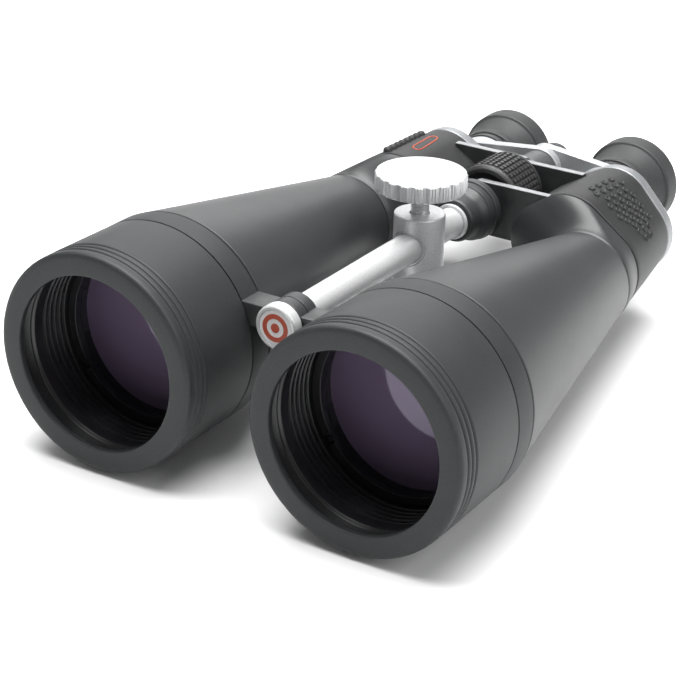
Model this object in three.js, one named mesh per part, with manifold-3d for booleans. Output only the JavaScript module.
// Giant porro-prism binoculars with a tripod rod between the barrels.
//
// The optical frame is the working frame of every piece: x across the two barrels, y along the
// optical axes from the front lips of the dew shields towards the eyes, z up from the plane of the
// two barrel axes. The last lines turn and lift that frame so that the instrument stands on z = 0.
// Lengths are in millimetres.

import * as THREE from "three";
import { ParametricGeometry } from "three/addons/geometries/ParametricGeometry.js";
import { mergeVertices } from "three/addons/utils/BufferGeometryUtils.js";
import Module from "manifold-3d";

const wasm = await Module();
wasm.setup();

// ---------------------------------------------------------------- driving dimensions

const seat = 0.3; // gap left between two pieces that touch
const runningGap = 0.35; // gap between two round pieces that turn or slide in each other

const barrelSpacing = 134.2; // between the two objective axes
const hingeHeight = 19.2; // hinge axis above the plane of the barrel axes
const eyeSpacing = 74; // between the two eyepiece axes

const shieldRadius = 52;
const shieldLength = 49.3;
const shieldWall = 7.8;
const lipOpening = 41.3; // radius of the front opening
const lipThickness = 4;
const grooveCount = 3;
const grooveStart = 7;
const groovePitch = 3;
const grooveDepth = 0.9;

const bandLength = 13.6; // the bridge ring behind the dew shield
const bandRadius = 51.5;
const bandWall = 4.3;
const spigotWall = 2.6;

const lensRadius = 40.4;
const lensSag = 3.6;
const crownEdge = 2.4;
const flintEdge = 7.6;
const crownInset = 4; // from the front of the cell to the edge of the crown lens
const cellWall = 3.1;
const cellShoulder = 6;
const cellLip = 2; // how far the shoulder overlaps the edge of the lenses
const cellFrontInset = 6; // the cell starts this far inside the dew shield
const retainerLength = 5;

const coneLength = 148.2;
const coneFrontRadius = 51.1;
const coneRearRadius = 24.6;
const coneWall = 2.4;
const coneRootLength = 6; // the thick front end of the cone

const flangeLength = 15; // the flare from the round barrel to the prism housing
const housingLength = 53.2; // behind the flare, up to the rear cover
const housingWall = 1.5;
const armourThickness = 1.5;
const armourGap = 1.2; // the dark line between the flare and the armour
const coverThickness = 6.8;
const coverEdge = 1.6; // chamfer round the rear of the cover
const coverRim = 2.6; // the least metal round the guide bush
const lightHoleRadius = 22;

// The three rounds a housing is wrapped over: [x, z] from the axis each one follows, and a radius.
const frontBarrelRound = [-1.8, 0.5, -0.8]; // radius over the rear end of the cone
const frontShoulder = [-6.4, -7.9, 24];
const frontEyeRound = [4, -0.7, 4]; // radius over the least one that holds the guide bush
const rearBarrelRound = [-7.2, 1, -3.8];
const rearShoulder = [-6.9, -6.3, 20.4];

const prismLength = 36;
const prismWidth = 11;
const prismDepth = 18;
const shelfPlace = 26; // shelf behind the flare
const shelfThickness = 2.4;
const shelfPlay = 1.5; // round the edge of the shelf
const shelfHole = 5.4;
const tubeClear = 3.4; // between the shelf and the front end of the eyepiece tube

const rodRadius = 7.4;
const bossWall = 3; // round the rod
const bossLength = 6.65;
const bridgeArmHeight = 11;
const endCapWall = 3.2; // round the rod
const endCapLength = 6;
const badgeInset = 2.2; // the badge is this much smaller than the end cap
const badgeThickness = 1;
const endCapFace = 2; // from the front of the cap to the end of the rod

const collarLength = 22;
const collarNeckWall = 3.8; // round the rod
const collarRadius = 15.4;
const collarStep = 0.6;
const rodRingWall = 1.3;
const rodRingLength = 1.6;

const lugThickness = 4.2;
const lugWall = 3.6; // round the hinge axle
const lugFoot = 15; // how far the lugs reach below the rod axis
const lugLead = 4.5; // how far the front lugs start before the end of the flare
const lugTop = 32; // height of the flat top of the hinge lugs
const lugReach = 40; // how far out a lug runs into its housing
const wheelRadius = 18.4;
const wheelLength = 28;
const wheelRibs = 20;
const wheelRibDepth = 0.8;
const wheelRibShare = 0.62;
const wheelSideGap = 2.6;

const shaftRadius = 4.9;
const hubRadius = 10.2;
const armHubWall = 3.8; // round the stub of the focusing shaft
const hubGap = 3.2; // from the rear lugs to the hub
const stubRadius = 7.4;
const stubLength = 6;
const shaftCapRadius = 8.8;
const shaftCapLength = 4;

const eyeArmThickness = 5;
const eyeRingWall = 4.55; // round the eyepiece tube
const eyeArmGap = 4.1; // from the rear cover to the eyepiece arms
const eyeTubeRadius = 12.7;
const eyeTubeWall = 1.5;
const eyeCollarWall = 2.7;
const eyeCollarLength = 3.5;
const eyeBarrelStep = 2.5; // the eyepiece barrel is this much larger than its tube
const eyeBarrelLength = 13;
const eyecupBaseWall = 3.8; // round the eyepiece barrel
const eyecupRim = 24.2;
const eyecupLength = 27;
const eyecupWall = 1.9;
const eyecupWaist = 0.3; // share of the eyecup's length where it starts to widen
const eyecupStep = 0.62; // share of its length where the rim starts
const guideStep = 1.4; // the guide bush stands this far out of the cover
const guideWall = 2.2;
const eyeLensThickness = 5;
const eyeStop = 2; // the lip that holds the eye lens

const postPlace = 167.4; // the tripod post along the rod
const postTop = 15; // above the rod axis
const postFoot = 65.5; // below the rod axis
const postBushWall = 0.8;
const postBushInset = 0.6; // the ends of the bush follow the round of the post, this far inside it
const postWall = 3.5; // round the bush
const tripodHoleRadius = 3.4;
const tripodHoleDepth = 10;
const screwRadius = 4.6;
const screwShow = 12.2; // length of screw between the post and the knob
const padThickness = 2;
const knobRadius = 22.2;
const knobThickness = 8.4;
const knobFlutes = 24;
const knobFluteRadius = 0.9;

const roundFine = 24; // facets of the big round pieces
const roundSmall = 16;

// ---------------------------------------------------------------- places worked out from them

const barrelX = barrelSpacing / 2;
const eyeX = eyeSpacing / 2;
const eyeHeight = hingeHeight * (1 - eyeX / barrelX); // all the axes of a side lie in one plane
const bandFront = shieldLength + seat;
const bandRear = bandFront + bandLength;
const coneFront = bandRear + seat;
const coneRear = coneFront + coneLength;
const flangeFront = coneRear + seat;
const flangeRear = flangeFront + flangeLength;
const armourFront = flangeRear + armourGap;
const housingRear = flangeRear + housingLength;
const coverFront = housingRear + seat;
const coverRear = coverFront + coverThickness;
const lugFront = flangeRear - lugLead;
const wheelFront = lugFront + 2 * lugThickness + seat + wheelSideGap;
const wheelRear = wheelFront + wheelLength;
const rearLugFront = wheelRear + wheelSideGap;
const rearLugRear = rearLugFront + 2 * lugThickness + seat;
const hubFront = rearLugRear + hubGap;
const eyeArmFront = coverRear + eyeArmGap;
const eyeArmRear = eyeArmFront + 2 * eyeArmThickness + seat;
const collarFront = lugFront - seat - collarLength;
const endCapFront = bandFront - seat - endCapLength;
const cellBore = lensRadius + seat;
const cellRadius = cellBore + cellWall;
const cellFront = shieldLength - cellFrontInset;
const shieldBore = cellRadius + seat;
const bossRadius = rodRadius + bossWall;
const endCapRadius = rodRadius + endCapWall;
const badgeRadius = endCapRadius - badgeInset;
const lugRadius = rodRadius + lugWall;
const armHubRadius = stubRadius + armHubWall;
const guideBore = eyeTubeRadius + runningGap;
const guideRadius = guideBore + guideWall;
const eyeRingRadius = guideBore + eyeRingWall;
const eyeBarrelRadius = eyeTubeRadius + eyeBarrelStep;
const eyeCollarRadius = eyeBarrelRadius + seat + eyeCollarWall;
const postBushRadius = rodRadius + runningGap + postBushWall;
const postRadius = postBushRadius + runningGap + postWall;

// ---------------------------------------------------------------- materials

const finish = (color, roughness, metalness) =>
  new THREE.MeshStandardMaterial({ color, roughness, metalness });
const blackPaint = finish(0x2b2c2d, 0.5, 0);
const blackRing = finish(0x232425, 0.45, 0);
const blackRubber = finish(0x2f3031, 0.7, 0);
const greyCasting = finish(0x6c6f72, 0.4, 0.6);
const brightMetal = finish(0xd4d6d8, 0.25, 1);
const satinMetal = finish(0xa9acae, 0.45, 1);
const coatedGlass = finish(0x3a2740, 0.05, 0);
const clearGlass = finish(0xbfd0d2, 0.05, 0);
const darkSteel = finish(0x3c3e40, 0.4, 0.8);
const badgePaint = finish(0xb8442c, 0.35, 0);

// ---------------------------------------------------------------- shape helpers

// A closed three.js geometry as a manifold solid, turned to face outwards if it was inside out.
function solid(geometry) {
  const bare = new THREE.BufferGeometry();
  const source = geometry.index ? geometry.toNonIndexed() : geometry;
  bare.setAttribute("position", source.getAttribute("position"));
  const merged = mergeVertices(bare, 1e-4);
  const corners = merged.index.array;
  const kept = [];
  for (let i = 0; i < corners.length; i += 3) {
    const [a, b, c] = [corners[i], corners[i + 1], corners[i + 2]];
    if (a !== b && b !== c && c !== a) kept.push(a, b, c);
  }
  const build = (triangles) =>
    new wasm.Manifold(
      new wasm.Mesh({
        numProp: 3,
        vertProperties: merged.attributes.position.array,
        triVerts: new Uint32Array(triangles),
      }),
    );
  const made = build(kept);
  return made.volume() > 0 ? made : build(kept.reverse());
}

function geometryOf(body) {
  const mesh = body.getMesh();
  return new THREE.BufferGeometry()
    .setAttribute("position", new THREE.BufferAttribute(new Float32Array(mesh.vertProperties), 3))
    .setIndex(new THREE.BufferAttribute(new Uint32Array(mesh.triVerts), 1));
}

// Revolves [radius, y] pairs round the y axis, then moves the piece to that axis' place.
function turned(profile, [x, z] = [0, 0], facets = roundFine) {
  const points = profile.map(([radius, y]) => new THREE.Vector2(radius, y));
  return solid(new THREE.LatheGeometry(points, facets).translate(x, 0, z));
}

// A ring with a plain bore: its outline is closed on itself.
const ring = (outer, bore, y0, y1, place, facets) =>
  turned([[bore, y0], [outer, y0], [outer, y1], [bore, y1], [bore, y0]], place, facets);

const rod = (radius, y0, y1, place, facets = roundSmall) =>
  turned([[0, y0], [radius, y0], [radius, y1], [0, y1]], place, facets);

// An outline in the x-z plane, extruded from y0 to y1.
function plate(outline, y0, y1) {
  const shape = new THREE.Shape(outline.map(([x, z]) => new THREE.Vector2(x, z)));
  const geometry = new THREE.ExtrudeGeometry(shape, { depth: y1 - y0, bevelEnabled: false });
  return solid(geometry.rotateX(Math.PI / 2).translate(0, y1, 0));
}

// The tight wrap round circles [x, z, radius], which are listed anticlockwise. Each one gets as many
// points, on the part of it that the wrap touches.
function around(circles, count, grow = 0) {
  const turnTo = ([x0, z0, r0], [x1, z1, r1]) =>
    Math.atan2(z1 - z0, x1 - x0) - Math.acos((r0 - r1) / Math.hypot(x1 - x0, z1 - z0));
  const number = circles.length;
  const steps = count / number - 1;
  return circles.flatMap(([x, z, radius], i) => {
    const from = turnTo(circles[(i + number - 1) % number], circles[i]);
    const to = turnTo(circles[i], circles[(i + 1) % number]);
    const sweep = (to - from + 4 * Math.PI) % (2 * Math.PI);
    return Array.from({ length: steps + 1 }, (_, k) => {
      const angle = from + (sweep * k) / steps;
      return [x + (radius + grow) * Math.cos(angle), z + (radius + grow) * Math.sin(angle)];
    });
  });
}

// A solid through outlines of equally many points: stations are {y, outline}.
function loft(stations) {
  const count = stations[0].outline.length;
  const last = stations.length + 1;
  const mean = (outline, k) => outline.reduce((sum, point) => sum + point[k], 0) / count;
  const centreOf = ({ outline }) => [mean(outline, 0), mean(outline, 1)];
  const surface = (u, v, target) => {
    const row = Math.round(v * last);
    const station = stations[Math.min(Math.max(row - 1, 0), stations.length - 1)];
    const capped = row === 0 || row === last;
    const [x, z] = capped ? centreOf(station) : station.outline[Math.round(u * count) % count];
    target.set(x, station.y, z);
  };
  return solid(new ParametricGeometry(surface, count, last));
}

const side = (sign) => (sign < 0 ? "left" : "right");
const mirrored = (sign, outline) => outline.map(([x, z]) => [sign * x, z]);

const instrument = new THREE.Group();

function add(name, body, material) {
  const mesh = new THREE.Mesh(geometryOf(body), material);
  mesh.name = name;
  instrument.add(mesh);
}

// ---------------------------------------------------------------- barrels

function dewShield(place) {
  const outline = [[lipOpening, 0], [shieldRadius - 1.2, 0], [shieldRadius, 1.2]];
  for (let i = 0; i < grooveCount; i += 1) {
    const y = grooveStart + i * groovePitch;
    outline.push([shieldRadius, y], [shieldRadius - grooveDepth, y + 0.6], [shieldRadius, y + 1.2]);
  }
  const undercut = shieldRadius - shieldWall + 1.2;
  outline.push([bandRadius, shieldLength], [shieldBore, shieldLength]);
  outline.push([shieldBore, 14], [undercut, 12], [undercut, lipThickness], [lipOpening, lipThickness]);
  outline.push([lipOpening, 0]);
  return turned(outline, place);
}

// The round band of the front bridge, with its arm and the boss that turns on the rod.
function bridgeArm(sign) {
  const place = [sign * barrelX, 0];
  const y0 = sign < 0 ? bandFront : bandRear - bossLength;
  const band = ring(bandRadius, bandRadius - bandWall, bandFront, bandRear, place);
  const top = hingeHeight + bridgeArmHeight / 2;
  const foot = hingeHeight - bridgeArmHeight / 2;
  const root = barrelX - Math.sqrt((bandRadius - bandWall / 2) ** 2 - hingeHeight ** 2);
  const arm = plate(
    [[sign * rodRadius, foot], [sign * root, foot], [sign * root, top], [sign * rodRadius, top]],
    bandFront,
    bandRear,
  );
  const boss = rod(bossRadius, y0, y0 + bossLength, [0, hingeHeight]);
  const core = rod(bandRadius - bandWall, bandFront - 1, bandRear + 1, place, roundFine);
  const bore = rod(rodRadius + runningGap, bandFront - 1, bandRear + 1, [0, hingeHeight]);
  const otherBoss = rod(
    bossRadius + runningGap,
    sign < 0 ? y0 + bossLength : bandFront - 1,
    sign < 0 ? bandRear + 1 : y0,
    [0, hingeHeight],
  );
  return band.add(arm.subtract(core)).add(boss).subtract(bore).subtract(otherBoss);
}

function barrelTube(place) {
  const spigotBore = cellRadius + seat;
  const spigotRadius = bandRadius - bandWall - seat;
  return turned(
    [
      [spigotBore, bandFront],
      [spigotRadius, bandFront],
      [spigotRadius, coneFront],
      [coneFrontRadius, coneFront],
      [coneRearRadius, coneRear],
      [coneRearRadius - coneWall, coneRear],
      [coneFrontRadius - coneWall, coneFront + coneRootLength],
      [spigotBore, coneFront + spigotWall],
      [spigotBore, bandFront],
    ],
    place,
  );
}

const crownFront = cellFront + crownInset;
const crownRear = crownFront + crownEdge;
const flintRear = crownRear + seat + flintEdge;

function arc(radius, edge, sag, steps = 3) {
  const points = [];
  for (let i = 0; i <= steps; i += 1) {
    const share = i / steps;
    points.push([radius * share, edge + sag * (1 - share * share)]);
  }
  return points;
}

const crownLens = (place) =>
  turned([...arc(lensRadius, crownFront, -lensSag), ...arc(lensRadius, crownRear, lensSag).reverse()], place);

const flintLens = (place) =>
  turned(
    [...arc(lensRadius, crownRear + seat, lensSag), [lensRadius, flintRear], [0, flintRear]],
    place,
  );

function objectiveCell(place) {
  const shoulder = flintRear + seat;
  return turned(
    [
      [cellBore, cellFront],
      [cellRadius, cellFront],
      [cellRadius, shoulder + cellShoulder],
      [lensRadius - cellLip, shoulder + cellShoulder],
      [lensRadius - cellLip, shoulder],
      [cellBore, shoulder],
      [cellBore, cellFront],
    ],
    place,
  );
}

const retainingRing = (place) =>
  ring(cellRadius, lensRadius - 1, cellFront - seat - retainerLength, cellFront - seat, place);

// ---------------------------------------------------------------- prism housing

// The optical path folds over at an axis that makes a right-angled corner with the other two.
const foldAxis = (sign) => {
  const [dx, dz] = [eyeX - barrelX, eyeHeight];
  return [sign * (barrelX + (dx + dz) / 2), (dz - dx) / 2];
};
const [foldX, foldZ] = foldAxis(1);

// A housing's outline is the tight wrap round three circles [x, z, radius]: one near the barrel's
// axis, the shoulder over the fold, and one round the eyepiece tube.
const placed = ([x, z], [shiftX, shiftZ, radius], base = 0) => [x + shiftX, z + shiftZ, base + radius];
const frontCorners = [
  placed([barrelX, 0], frontBarrelRound, coneRearRadius),
  placed([foldX, foldZ], frontShoulder),
  placed([eyeX, eyeHeight], frontEyeRound, guideRadius + coverRim),
];
const rearCorners = [
  placed([barrelX, 0], rearBarrelRound, coneRearRadius),
  placed([foldX, foldZ], rearShoulder),
  [eyeX, eyeHeight, guideRadius + seat + coverRim],
];
const between = (from, to, share) =>
  from.map((circle, i) => circle.map((value, k) => value + (to[i][k] - value) * share));

// The flare starts as the barrel's circle: three circles almost in one place.
const barrelEnd = frontCorners.map(() => [barrelX, 0, coneRearRadius]);
const throat = between(barrelEnd, frontCorners, 0.002);

const cornersAt = (y) => between(frontCorners, rearCorners, (y - flangeRear) / housingLength);

function lofted(sign, stations, grow) {
  const outlines = stations.map(([y, circles]) => ({
    y,
    outline: mirrored(sign, around(circles, roundFine, grow)),
  }));
  return loft(outlines);
}

function lug(sign, y0) {
  const inner = sign * lugReach;
  const foot = hingeHeight - lugFoot;
  const arm = plate(
    [[0, foot], [inner, foot], [inner, lugTop], [0, lugTop]],
    y0,
    y0 + lugThickness,
  );
  const disc = rod(lugRadius, y0, y0 + lugThickness, [0, hingeHeight]);
  const bore = rod(rodRadius + runningGap, y0 - 1, y0 + lugThickness + 1, [0, hingeHeight]);
  return arm.add(disc).subtract(bore);
}

const skin = armourThickness + seat; // the housing under its armour is this much smaller

function prismHousing(sign) {
  const flare = lofted(
    sign,
    [
      [flangeFront, throat],
      [flangeFront + flangeLength * 0.4, between(throat, frontCorners, 0.3)],
      [flangeFront + flangeLength * 0.75, between(throat, frontCorners, 0.75)],
      [flangeRear, frontCorners],
    ],
    0,
  );
  const box = lofted(sign, [[flangeRear - 1, frontCorners], [housingRear, rearCorners]], -skin);
  const cavityFront = flangeRear + 1;
  const cavity = lofted(
    sign,
    [[cavityFront, cornersAt(cavityFront)], [housingRear + 1, cornersAt(housingRear + 1)]],
    -skin - housingWall,
  );
  const lightHole = rod(
    lightHoleRadius,
    flangeFront - 1,
    cavityFront + 1,
    [sign * barrelX, 0],
    roundFine,
  );
  const frontLug = sign < 0 ? lugFront : lugFront + lugThickness + seat;
  const rearLug = sign < 0 ? rearLugFront + lugThickness + seat : rearLugFront;
  return flare
    .add(box)
    .add(lug(sign, frontLug))
    .add(lug(sign, rearLug))
    .subtract(cavity)
    .subtract(lightHole);
}

function armour(sign) {
  const ends = [armourFront, housingRear];
  const outer = lofted(sign, ends.map((y) => [y, cornersAt(y)]), 0);
  const inner = lofted(sign, [ends[0] - 1, ends[1] + 1].map((y) => [y, cornersAt(y)]), -armourThickness);
  return outer.subtract(inner).subtract(lugSlots(sign));
}

// Room in the armour for the hinge lugs that pass through it.
function lugSlots(sign) {
  const foot = hingeHeight - lugFoot - seat;
  const slot = (y0) =>
    plate(
      [[0, foot], [sign * (lugReach + 1), foot], [sign * (lugReach + 1), lugTop + seat], [0, lugTop + seat]],
      y0 - seat,
      y0 + lugThickness + seat,
    );
  const frontLug = sign < 0 ? lugFront : lugFront + lugThickness + seat;
  const rearLug = sign < 0 ? rearLugFront + lugThickness + seat : rearLugFront;
  return slot(frontLug).add(slot(rearLug));
}

function rearCover(sign) {
  const body = lofted(
    sign,
    [
      [coverFront, rearCorners],
      [coverRear - coverEdge, rearCorners],
      [coverRear, rearCorners.map(([x, z, r]) => [x, z, r - coverEdge])],
    ],
    0,
  );
  const hole = rod(guideRadius + seat, coverFront - 1, coverRear + 1, [sign * eyeX, eyeHeight]);
  return body.subtract(hole);
}

// The fixed bush in the rear cover in which the eyepiece slides.
const guideBush = (place) =>
  ring(guideRadius, guideBore, coverFront, coverRear + guideStep, place, roundSmall);

// ---------------------------------------------------------------- prisms

const shelfFront = flangeRear + shelfPlace;
const shelfRear = shelfFront + shelfThickness;
function prismShelf(sign) {
  const stations = [shelfFront, shelfRear].map((y) => [y, cornersAt(y)]);
  const board = lofted(sign, stations, -skin - housingWall - shelfPlay);
  const axes = [[sign * barrelX, 0], foldAxis(sign), [sign * eyeX, eyeHeight]];
  const holes = axes.map((axis) => rod(shelfHole, shelfFront - 1, shelfRear + 1, axis));
  return holes.reduce((left, hole) => left.subtract(hole), board);
}

// A roofless right-angle prism with rounded ends: the wide face lies on the shelf at y, over the
// two axes that it joins, and its edge points away along direction.
function porroPrism([ax, az], [bx, bz], y, direction) {
  const half = prismLength / 2;
  const roof = new THREE.Shape([
    new THREE.Vector2(-half, 0),
    new THREE.Vector2(half, 0),
    new THREE.Vector2(half - prismDepth, direction * prismDepth),
    new THREE.Vector2(prismDepth - half, direction * prismDepth),
  ]);
  const bar = new THREE.ExtrudeGeometry(roof, { depth: prismWidth, bevelEnabled: false });
  bar.translate(0, 0, -prismWidth / 2);
  const ends = around(
    [[half - prismWidth / 2, 0, prismWidth / 2], [prismWidth / 2 - half, 0, prismWidth / 2]],
    roundSmall,
  );
  const rounded = plate(ends, -prismDepth - 1, prismDepth + 1);
  const angle = Math.atan2(bz - az, bx - ax);
  const turn = new THREE.Matrix4()
    .makeTranslation((ax + bx) / 2, y, (az + bz) / 2)
    .multiply(new THREE.Matrix4().makeRotationY(-angle));
  return solid(geometryOf(solid(bar).intersect(rounded)).applyMatrix4(turn));
}

// ---------------------------------------------------------------- eyepieces

function eyepieceArm(sign) {
  const y0 = sign < 0 ? eyeArmFront : eyeArmFront + eyeArmThickness + seat;
  const place = [sign * eyeX, eyeHeight];
  const outline = around([[0, hingeHeight, armHubRadius], [eyeX, eyeHeight, eyeRingRadius]], roundFine);
  const web = plate(mirrored(sign, outline), y0, y0 + eyeArmThickness);
  const sleeve = rod(eyeRingRadius, eyeArmFront, eyeArmRear, place, roundFine);
  const bore = rod(eyeTubeRadius + runningGap, eyeArmFront - 1, eyeArmRear + 1, place);
  const pivot = rod(stubRadius + runningGap, y0 - 1, y0 + eyeArmThickness + 1, [0, hingeHeight]);
  return web.add(sleeve).subtract(bore).subtract(pivot);
}

const tubeFront = shelfRear + tubeClear;
const eyeCollarFront = eyeArmRear + seat;
const eyeCollarRear = eyeCollarFront + eyeCollarLength;
const eyeBarrelRear = eyeCollarRear + eyeBarrelLength;
const eyecupFront = eyeCollarRear + seat;

function eyepieceTube(place) {
  const bore = eyeTubeRadius - eyeTubeWall;
  return turned(
    [
      [bore, tubeFront],
      [eyeTubeRadius, tubeFront],
      [eyeTubeRadius, eyeCollarFront],
      [eyeBarrelRadius, eyeCollarFront],
      [eyeBarrelRadius, eyeBarrelRear],
      [bore - eyeStop, eyeBarrelRear],
      [bore - eyeStop, eyeBarrelRear - eyeStop],
      [bore, eyeBarrelRear - eyeStop],
      [bore, tubeFront],
    ],
    place,
    roundSmall,
  );
}

const eyeCollar = (place) =>
  ring(eyeCollarRadius, eyeBarrelRadius + seat, eyeCollarFront, eyeCollarRear, place, roundSmall);

const fieldLens = (place) => {
  const radius = eyeTubeRadius - eyeTubeWall - seat;
  const front = coverFront - 2;
  const rear = front + eyeLensThickness;
  return turned([...arc(radius, front, -1.6, 3), ...arc(radius, rear, 0.9, 3).reverse()], place, roundSmall);
};

const eyeLens = (place) => {
  const radius = eyeTubeRadius - eyeTubeWall - seat;
  const rear = eyeBarrelRear - eyeStop - seat;
  const front = rear - eyeLensThickness;
  return turned([...arc(radius, front, -1.2, 3), [radius, rear], [0, rear]], place, roundSmall);
};

function eyecup(place) {
  const bore = eyeBarrelRadius + seat;
  const eyecupBase = eyeBarrelRadius + seat + eyecupBaseWall;
  const rimFront = eyecupFront + eyecupLength * eyecupStep;
  const rear = eyecupFront + eyecupLength;
  return turned(
    [
      [bore, eyecupFront],
      [eyecupBase, eyecupFront],
      [eyecupBase + 0.8, eyecupFront + eyecupLength * eyecupWaist],
      [eyecupRim - 1.6, rimFront],
      [eyecupRim, rimFront + 2],
      [eyecupRim, rear - 0.8],
      [eyecupRim - 0.8, rear],
      [eyecupRim - eyecupWall, rear],
      [eyecupRim - eyecupWall - 1.6, rimFront + 2],
      [eyecupBase - 0.6, eyeBarrelRear + 0.8],
      [bore, eyeBarrelRear - 1],
      [bore, eyecupFront],
    ],
    place,
  );
}

// ---------------------------------------------------------------- one side after the other

for (const sign of [-1, 1]) {
  const name = (piece) => `${side(sign)}_${piece}`;
  const barrel = [sign * barrelX, 0];
  const eye = [sign * eyeX, eyeHeight];
  const fold = foldAxis(sign);
  add(name("dew_shield"), dewShield(barrel), blackRing);
  add(name("bridge_arm"), bridgeArm(sign), blackPaint);
  add(name("barrel_tube"), barrelTube(barrel), blackPaint);
  add(name("retaining_ring"), retainingRing(barrel), blackRing);
  add(name("objective_cell"), objectiveCell(barrel), blackRing);
  add(name("crown_lens"), crownLens(barrel), coatedGlass);
  add(name("flint_lens"), flintLens(barrel), clearGlass);
  add(name("prism_housing"), prismHousing(sign), blackPaint);
  add(name("rubber_armour"), armour(sign), blackRubber);
  add(name("prism_shelf"), prismShelf(sign), darkSteel);
  add(name("objective_prism"), porroPrism(barrel, fold, shelfRear + seat, 1), clearGlass);
  add(name("eyepiece_prism"), porroPrism(fold, eye, shelfFront - seat, -1), clearGlass);
  add(name("rear_cover"), rearCover(sign), greyCasting);
  add(name("guide_bush"), guideBush(eye), darkSteel);
  add(name("eyepiece_arm"), eyepieceArm(sign), greyCasting);
  add(name("eyepiece_tube"), eyepieceTube(eye), blackPaint);
  add(sign < 0 ? "left_eyepiece_collar" : "dioptre_ring", eyeCollar(eye), blackPaint);
  add(name("field_lens"), fieldLens(eye), clearGlass);
  add(name("eye_lens"), eyeLens(eye), clearGlass);
  add(name("eyecup"), eyecup(eye), blackRubber);
}

// ---------------------------------------------------------------- rod and hinge

const hinge = [0, hingeHeight];

function tripodRod() {
  const rear = collarFront + collarLength * 0.5;
  return rod(rodRadius, endCapFront + endCapFace, rear, hinge);
}

function rodEndCap() {
  const rear = bandFront - seat;
  return turned(
    [
      [0, endCapFront + badgeThickness],
      [badgeRadius + seat, endCapFront + badgeThickness],
      [badgeRadius + seat, endCapFront],
      [endCapRadius - 1, endCapFront],
      [endCapRadius, endCapFront + 1],
      [endCapRadius, rear],
      [rodRadius + seat, rear],
      [rodRadius + seat, endCapFront + endCapFace - seat],
      [0, endCapFront + endCapFace - seat],
    ],
    hinge,
    roundSmall + 8,
  );
}

const rodBadge = () => rod(badgeRadius, endCapFront, endCapFront + badgeThickness - seat, hinge);

function rodRing() {
  const bore = rodRadius + seat;
  const rear = collarFront - seat;
  return ring(bore + rodRingWall, bore, rear - rodRingLength, rear, hinge, roundSmall);
}

// The dark collar that holds the rod's rear end in front of the hinge lugs.
function hingeCollar() {
  const rear = collarFront + collarLength;
  const bore = rodRadius + seat;
  return turned(
    [
      [bore, collarFront],
      [rodRadius + collarNeckWall, collarFront],
      [rodRadius + collarNeckWall + collarStep, collarFront + collarLength * 0.36],
      [collarRadius - 1.6, collarFront + collarLength * 0.52],
      [collarRadius, collarFront + collarLength * 0.6],
      [collarRadius, rear],
      [bore, rear],
      [bore, collarFront],
    ],
    hinge,
    roundSmall + 8,
  );
}

// The hollow axle that both halves turn on and the focusing shaft runs in.
const hingeAxle = () =>
  ring(
    rodRadius,
    shaftRadius + runningGap,
    collarFront + collarLength * 0.5 + seat,
    rearLugRear + 0.6,
    hinge,
    roundSmall,
  );

// ---------------------------------------------------------------- focusing

function focusWheel() {
  const facets = wheelRibs * 4;
  const outline = [];
  for (let i = 0; i < facets; i += 1) {
    const angle = (2 * Math.PI * i) / facets;
    const high = i % 4 < 4 * wheelRibShare;
    const radius = high ? wheelRadius : wheelRadius - wheelRibDepth;
    outline.push([radius * Math.cos(angle), hingeHeight + radius * Math.sin(angle)]);
  }
  const grip = plate(outline, wheelFront + 2, wheelRear - 2);
  const rims = [[wheelFront, wheelFront + 2.2], [wheelRear - 2.2, wheelRear]];
  const body = rims.reduce(
    (left, [y0, y1]) => left.add(rod(wheelRadius - 0.2, y0, y1, hinge, roundSmall + 8)),
    grip,
  );
  return body.subtract(rod(rodRadius + runningGap, wheelFront - 1, wheelRear + 1, hinge));
}

const stubFront = eyeArmFront - seat;
const stubRear = eyeArmRear + stubLength;

function focusShaft() {
  return turned(
    [
      [0, wheelFront + 4],
      [shaftRadius, wheelFront + 4],
      [shaftRadius, eyeArmFront],
      [stubRadius, eyeArmFront],
      [stubRadius, stubRear],
      [0, stubRear],
    ],
    hinge,
    roundSmall,
  );
}

const focusHub = () => ring(hubRadius, shaftRadius + seat, hubFront, stubFront, hinge, roundSmall + 8);
const shaftEndCap = () =>
  rod(shaftCapRadius, stubRear + seat, stubRear + seat + shaftCapLength, hinge);

// ---------------------------------------------------------------- tripod post

// A rod standing along z at the post's place.
function upright(radius, z0, z1, facets = roundSmall) {
  const bar = new THREE.CylinderGeometry(radius, radius, z1 - z0, facets);
  return solid(bar.rotateX(Math.PI / 2).translate(0, postPlace, (z0 + z1) / 2));
}

const postTopZ = hingeHeight + postTop;
const postFootZ = hingeHeight - postFoot;
const padFoot = hingeHeight + postBushRadius + seat;

const postBush = () =>
  ring(
    postBushRadius,
    rodRadius + runningGap,
    postPlace - postRadius,
    postPlace + postRadius,
    hinge,
    roundSmall,
  ).intersect(upright(postRadius - postBushInset, postFootZ, postTopZ, roundSmall + 8));

function tripodPost() {
  const body = upright(postRadius, postFootZ, postTopZ, roundSmall + 8);
  const cross = rod(
    postBushRadius + runningGap,
    postPlace - postRadius - 1,
    postPlace + postRadius + 1,
    hinge,
  );
  const screwHole = upright(screwRadius + runningGap, hingeHeight, postTopZ + 1);
  const tripodHole = upright(tripodHoleRadius, postFootZ - 1, postFootZ + tripodHoleDepth);
  return body.subtract(cross).subtract(screwHole).subtract(tripodHole);
}

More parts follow.
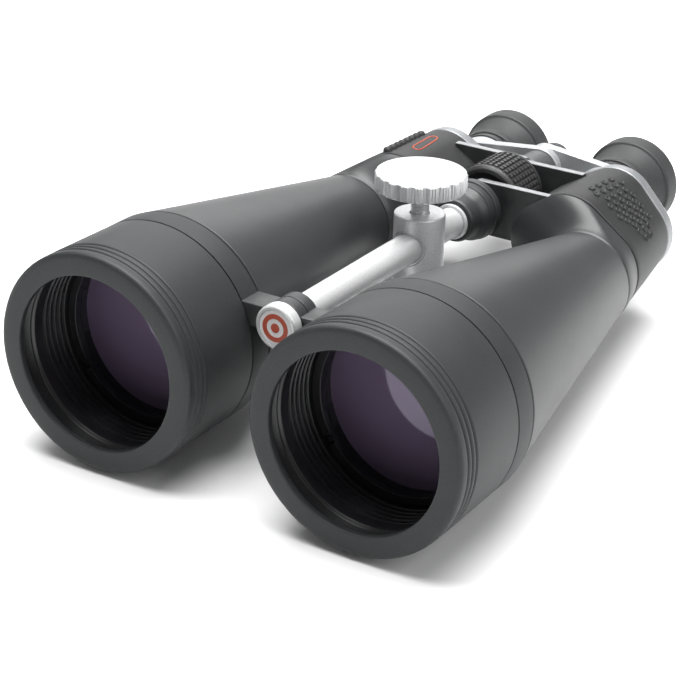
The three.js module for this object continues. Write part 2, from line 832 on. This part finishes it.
// The pad sits under the screw and is pressed towards the rod.
const clampPad = () => upright(screwRadius, padFoot, padFoot + padThickness);

function clampKnob() {
  const bottom = postTopZ + screwShow;
  const screw = upright(screwRadius, padFoot + padThickness + seat, bottom + 1);
  const facets = knobFlutes * 4;
  const outline = [];
  for (let i = 0; i < facets; i += 1) {
    const angle = (2 * Math.PI * i) / facets;
    const radius = i % 4 === 0 ? knobRadius - knobFluteRadius : knobRadius;
    outline.push(new THREE.Vector2(radius * Math.cos(angle), radius * Math.sin(angle)));
  }
  const disc = new THREE.ExtrudeGeometry(new THREE.Shape(outline), {
    depth: knobThickness,
    bevelEnabled: false,
  });
  return solid(disc.translate(0, postPlace, bottom)).add(screw);
}

add("tripod_rod", tripodRod(), brightMetal);
add("rod_end_cap", rodEndCap(), brightMetal);
add("rod_badge", rodBadge(), badgePaint);
add("rod_ring", rodRing(), brightMetal);
add("hinge_collar", hingeCollar(), blackRing);
add("hinge_axle", hingeAxle(), darkSteel);
add("focus_wheel", focusWheel(), blackRubber);
add("focus_shaft", focusShaft(), brightMetal);
add("focus_hub", focusHub(), greyCasting);
add("shaft_end_cap", shaftEndCap(), blackRing);
add("tripod_post", tripodPost(), satinMetal);
add("post_bush", postBush(), blackRing);
add("clamp_pad", clampPad(), darkSteel);
add("clamp_knob", clampKnob(), brightMetal);

// ---------------------------------------------------------------- standing on its own

// The instrument rests on the rear edges of the two bridge rings and on the foot of the tripod post,
// so the optical axes dip a little towards the eyes.
const dip = Math.atan2(bandRadius + postFootZ, postPlace + postRadius - bandRear);
const turnedZ = (y, z) => z * Math.cos(dip) - y * Math.sin(dip);
const turnedY = (y, z) => y * Math.cos(dip) + z * Math.sin(dip);
const frontY = turnedY(0, -shieldRadius);
const rearY = turnedY(eyecupFront + eyecupLength, eyeHeight + eyecupRim);

instrument.rotation.x = -dip;
instrument.position.set(0, -(frontY + rearY) / 2, -turnedZ(bandRear, -bandRadius));

const binoculars = new THREE.Group();
binoculars.add(instrument);

export default binoculars;
